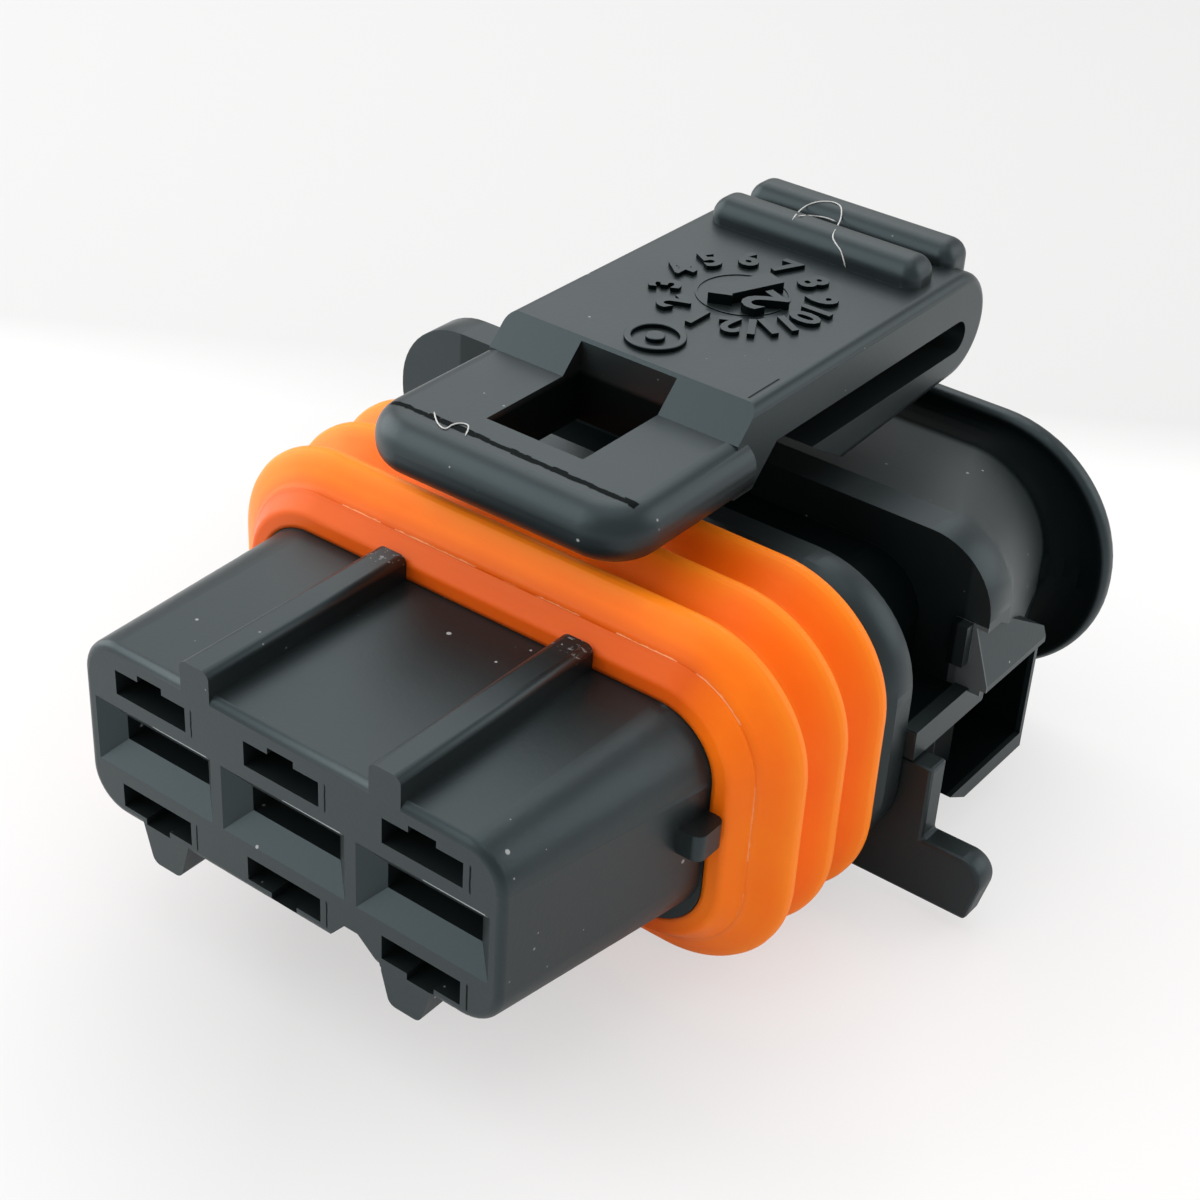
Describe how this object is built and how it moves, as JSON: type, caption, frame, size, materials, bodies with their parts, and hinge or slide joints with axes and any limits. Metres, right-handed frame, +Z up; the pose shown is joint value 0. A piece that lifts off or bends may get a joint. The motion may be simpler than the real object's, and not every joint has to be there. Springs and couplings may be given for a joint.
{
  "type": "sealed crankshaft sensor connector plug",
  "caption": "Sealed automotive sensor plug with a flat row of blade cavities, an orange lipped seal and a folded spring latch over the top.",
  "frame": {"origin": "middle of the blade row on the front face of the nose, where the header's blades enter", "axes": "+X along the blade row, +Y back from the mating face to the wires, +Z up to the latch"},
  "size_m": [0.0259, 0.0286, 0.0163],
  "materials": {
    "black_plastic": "satin, glass-filled",
    "orange_silicone": "smooth silicone",
    "contact_metal": "tin plated",
    "spring_steel": "bright",
    "yellow_silicone": "smooth silicone"
  },
  "bodies": {
    "plug": {"housing": "black_plastic", "interface_seal": "orange_silicone", "contact_1": "contact_metal", "contact_spring_1": "spring_steel", "wire_seal_1": "yellow_silicone", "contact_2": "contact_metal", "contact_spring_2": "spring_steel", "wire_seal_2": "yellow_silicone", "contact_3": "contact_metal", "contact_spring_3": "spring_steel", "wire_seal_3": "yellow_silicone"},
    "latch": {"latch_arm": "black_plastic"},
    "lock": {"secondary_lock": "black_plastic"}
  },
  "joints": [
    {"name": "latch_hinge", "type": "hinge", "parent": "plug", "child": "latch", "pos_m": [0, 0.02, 0.0055], "axis": [-1, 0, 0], "range_deg": [0, 4], "stiffness_Nm_per_rad": 0.6},
    {"name": "lock_slide", "type": "slide", "parent": "plug", "child": "lock", "axis": [1, 0, 0], "range_m": [0, 0.0011]}
  ]
}
